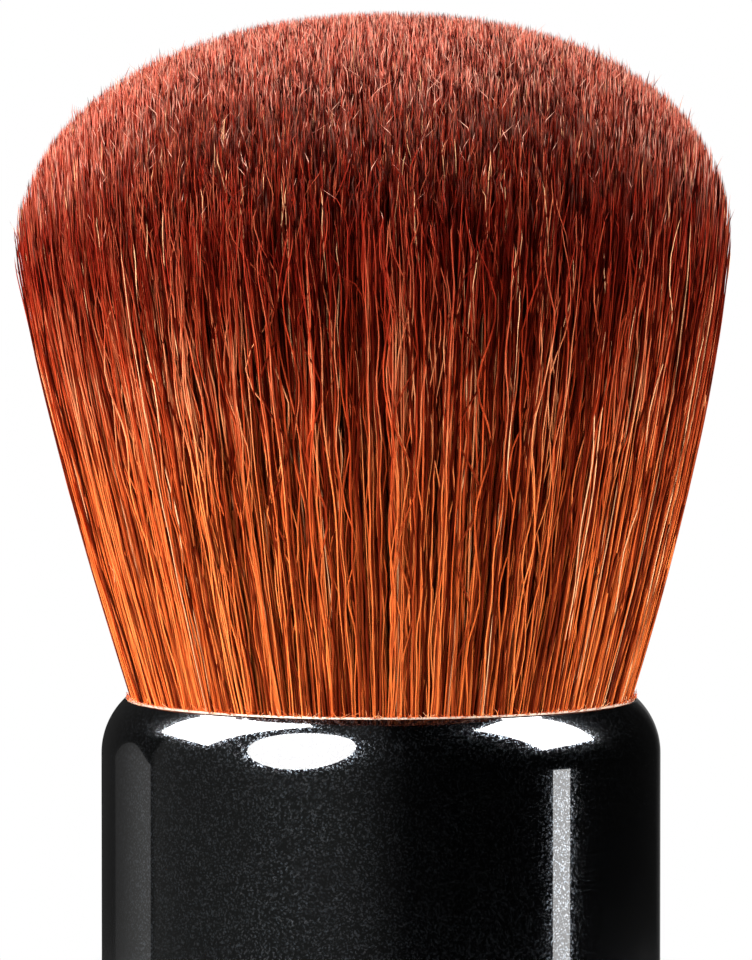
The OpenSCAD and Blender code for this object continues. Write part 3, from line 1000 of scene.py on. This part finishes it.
def floor_material(values):
    """Pale floor near the brush, which turns into the white surroundings further out."""
    material, tree, output = new_material("floor")
    shader = shade(tree, output, Base_Color=tuple(values.floor), Roughness=0.7,
                   Specular_IOR_Level=0.2)
    place = add(tree, "ShaderNodeTexCoord").outputs["Object"]
    far = span(tree, vectors(tree, "LENGTH", place), *FLOOR_FADE)
    white = add(tree, "ShaderNodeEmission", Color=WHITE, Strength=1.0)
    path = add(tree, "ShaderNodeLightPath").outputs
    seen = maths(tree, "MAXIMUM", path["Is Camera Ray"],
                 maths(tree, "MAXIMUM", path["Is Glossy Ray"], path["Is Transmission Ray"]))
    mix = either(tree, maths(tree, "MULTIPLY", far, seen), shader, white)
    tree.links.new(mix.outputs[0], output.inputs["Surface"])
    return material


class BRUSH_OT_stage(bpy.types.Operator):
    """Set up the floor, the lamps, the room and the camera"""
    bl_idname = "brush.stage"
    bl_label = "Studio"

    def execute(self, context):
        scene = context.scene
        values = scene.brush_stage
        camera = link("camera", bpy.data.cameras.new("camera"))
        camera.location = values.camera
        camera.rotation_mode = "QUATERNION"
        way = Vector(values.aim) - Vector(values.camera)
        camera.rotation_quaternion = way.to_track_quat("-Z", "Y")
        camera.data.lens = values.lens
        camera.data.sensor_width = 36
        camera.data.clip_start, camera.data.clip_end = 0.02, 20
        scene.camera = camera
        scene.view_settings.view_transform = "Standard"

        for name, setting, factor, azimuth, elevation, width, height, gloss, shape in LAMPS:
            lamp(name, HEAD_MIDDLE, LAMP_FAR, azimuth, elevation, width, height,
                 getattr(values, setting) * factor, gloss, shape)
        lamp("right strip", STRIP_TARGET, distance=0.27, azimuth=77.5, elevation=0, width=0.042,
             height=0.16, radiance=STRIP_LIGHT, gloss=True, shape="RECTANGLE")

        turns = np.linspace(0, 2 * math.pi, FLOOR_SIDES, endpoint=False)
        disc = [(values.floor_r * math.cos(a), values.floor_r * math.sin(a), 0) for a in turns]
        mesh = mesh_from("floor", disc, np.arange(FLOOR_SIDES), [FLOOR_SIDES])
        mesh.materials.append(floor_material(values))
        floor = link("floor", mesh)
        room(values)
        return {"FINISHED"}


# -------------------- add-on

class BRUSH_PT_panel(bpy.types.Panel):
    """Steps that dress the brush"""
    bl_label = "Kabuki Brush"
    bl_idname = "BRUSH_PT_panel"
    bl_space_type = "VIEW_3D"
    bl_region_type = "UI"
    bl_category = "Brush"

    def draw(self, context):
        for settings, steps in (("brush_handle", ("brush.handle", "brush.inside")),
                                ("brush_bristle", ("brush.bristle",)),
                                ("brush_stage", ("brush.stage",))):
            box = self.layout.box()
            group = getattr(context.scene, settings)
            for name in group.bl_rna.properties.keys():
                if name not in ("rna_type", "name"):
                    box.prop(group, name)
            for step in steps:
                box.operator(step)


classes = (HandleSettings, BristleSettings, StageSettings, BRUSH_OT_handle, BRUSH_OT_inside,
           BRUSH_OT_bristle, BRUSH_OT_stage, BRUSH_PT_panel)


def register():
    """Adds the settings, operators and panel."""
    for item in classes:
        bpy.utils.register_class(item)
    bpy.types.Scene.brush_handle = PointerProperty(type=HandleSettings)
    bpy.types.Scene.brush_bristle = PointerProperty(type=BristleSettings)
    bpy.types.Scene.brush_stage = PointerProperty(type=StageSettings)


def unregister():
    """Takes them away again."""
    for name in ("brush_stage", "brush_bristle", "brush_handle"):
        delattr(bpy.types.Scene, name)
    for item in reversed(classes):
        bpy.utils.unregister_class(item)


def main():
    """Dresses the brush on its stage."""
    register()
    bpy.ops.brush.stage()
    bpy.ops.brush.handle()
    bpy.ops.brush.inside()
    bpy.ops.brush.bristle()


if __name__ == "__main__":
    main()
